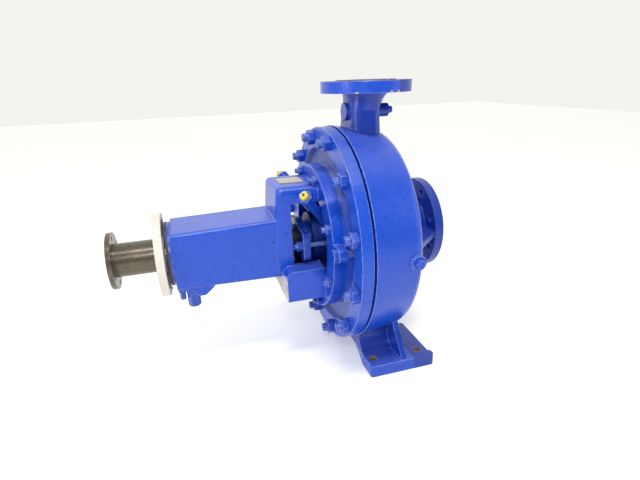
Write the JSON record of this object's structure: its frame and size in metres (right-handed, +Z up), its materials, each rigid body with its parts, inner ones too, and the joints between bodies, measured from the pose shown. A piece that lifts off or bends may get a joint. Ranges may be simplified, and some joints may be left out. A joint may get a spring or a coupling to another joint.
{
  "type": "centrifugal water pump",
  "caption": "End-suction centrifugal water pump with volute casing, lantern bearing frame, packed stuffing box, closed impeller and flanged coupling hub.",
  "frame": {"origin": "middle of the four foot bolts, on the underside of the feet", "axes": "+Z up and along the discharge, +X along the shaft towards the suction flange, the coupling at -X"},
  "size_m": [0.7325, 0.5016, 0.624],
  "materials": {
    "casing_paint": "gloss",
    "cover_paint": "gloss",
    "frame_paint": "gloss",
    "fastener_paint": "gloss",
    "gasket_sheet": "matte",
    "bearing_cover_iron": "matte",
    "plate_tan": "satin",
    "hub_iron": "oily",
    "disc_iron": "matte",
    "shaft_steel": "satin",
    "sleeve_steel": "satin",
    "impeller_iron": "matte",
    "ring_bronze": "satin",
    "bearing_steel": "polished",
    "cage_brass": "satin",
    "seal_rubber": "matte",
    "packing_fibre": "matte",
    "gland_iron": "gloss",
    "cap_yellow": "matte"
  },
  "bodies": {
    "pump": {"volute_casing": "casing_paint", "casing_cover": "cover_paint", "casing_gasket": "gasket_sheet", "casing_studs": "fastener_paint", "casing_nuts": "fastener_paint", "gauge_plugs": "fastener_paint", "side_plug": "fastener_paint", "drain_plug": "fastener_paint", "bearing_frame": "frame_paint", "frame_studs": "fastener_paint", "frame_nuts": "fastener_paint", "jack_screws": "fastener_paint", "oil_drain_plug": "fastener_paint", "housing_plug": "fastener_paint", "lantern_plate": "plate_tan", "outboard_cover": "bearing_cover_iron", "outboard_cover_screws": "bearing_cover_iron", "outboard_seal": "seal_rubber", "inboard_cover": "bearing_cover_iron", "inboard_cover_screws": "bearing_cover_iron", "inboard_seal": "seal_rubber", "outboard_outer_race": "bearing_steel", "inboard_outer_race": "bearing_steel", "casing_wear_ring": "ring_bronze", "cover_wear_ring": "ring_bronze", "throat_bush": "ring_bronze", "packing_rings": "packing_fibre", "lantern_ring": "ring_bronze", "gland_studs": "fastener_paint", "seal_water_nipples": "fastener_paint", "nipple_sockets": "fastener_paint", "nipple_caps": "cap_yellow"},
    "rotor": {"pump_shaft": "shaft_steel", "coupling_key": "shaft_steel", "impeller_key": "shaft_steel", "shaft_sleeve": "sleeve_steel", "water_slinger": "seal_rubber", "lock_washer": "shaft_steel", "lock_nut": "shaft_steel", "coupling_hub": "hub_iron", "hub_set_screw": "shaft_steel", "deflector_disc": "disc_iron", "disc_screw": "shaft_steel", "impeller": "impeller_iron", "impeller_nut": "shaft_steel", "outboard_inner_race": "bearing_steel", "inboard_inner_race": "bearing_steel"},
    "ball_set": {"outboard_balls": "bearing_steel", "outboard_cage": "cage_brass"},
    "roller_set": {"inboard_rollers": "bearing_steel", "inboard_cage": "cage_brass"},
    "gland": {"gland": "gland_iron", "gland_nuts": "fastener_paint"}
  },
  "joints": [
    {"name": "shaft_spin", "type": "hinge", "parent": "pump", "child": "rotor", "pos_m": [0, 0, 0.28], "axis": [1, 0, 0], "continuous": true},
    {"name": "ball_set_spin", "type": "hinge", "parent": "pump", "child": "ball_set", "pos_m": [-0.4285, 0, 0.28], "axis": [1, 0, 0], "continuous": true},
    {"name": "roller_set_spin", "type": "hinge", "parent": "pump", "child": "roller_set", "pos_m": [-0.2495, 0, 0.28], "axis": [1, 0, 0], "continuous": true},
    {"name": "gland_slide", "type": "slide", "parent": "pump", "child": "gland", "axis": [-1, 0, 0], "range_m": [-0.0018, 0.005]}
  ],
  "couplings": [
    {"joint": "ball_set_spin", "follows": "shaft_spin", "ratio": 0.38},
    {"joint": "roller_set_spin", "follows": "shaft_spin", "ratio": 0.4034}
  ]
}
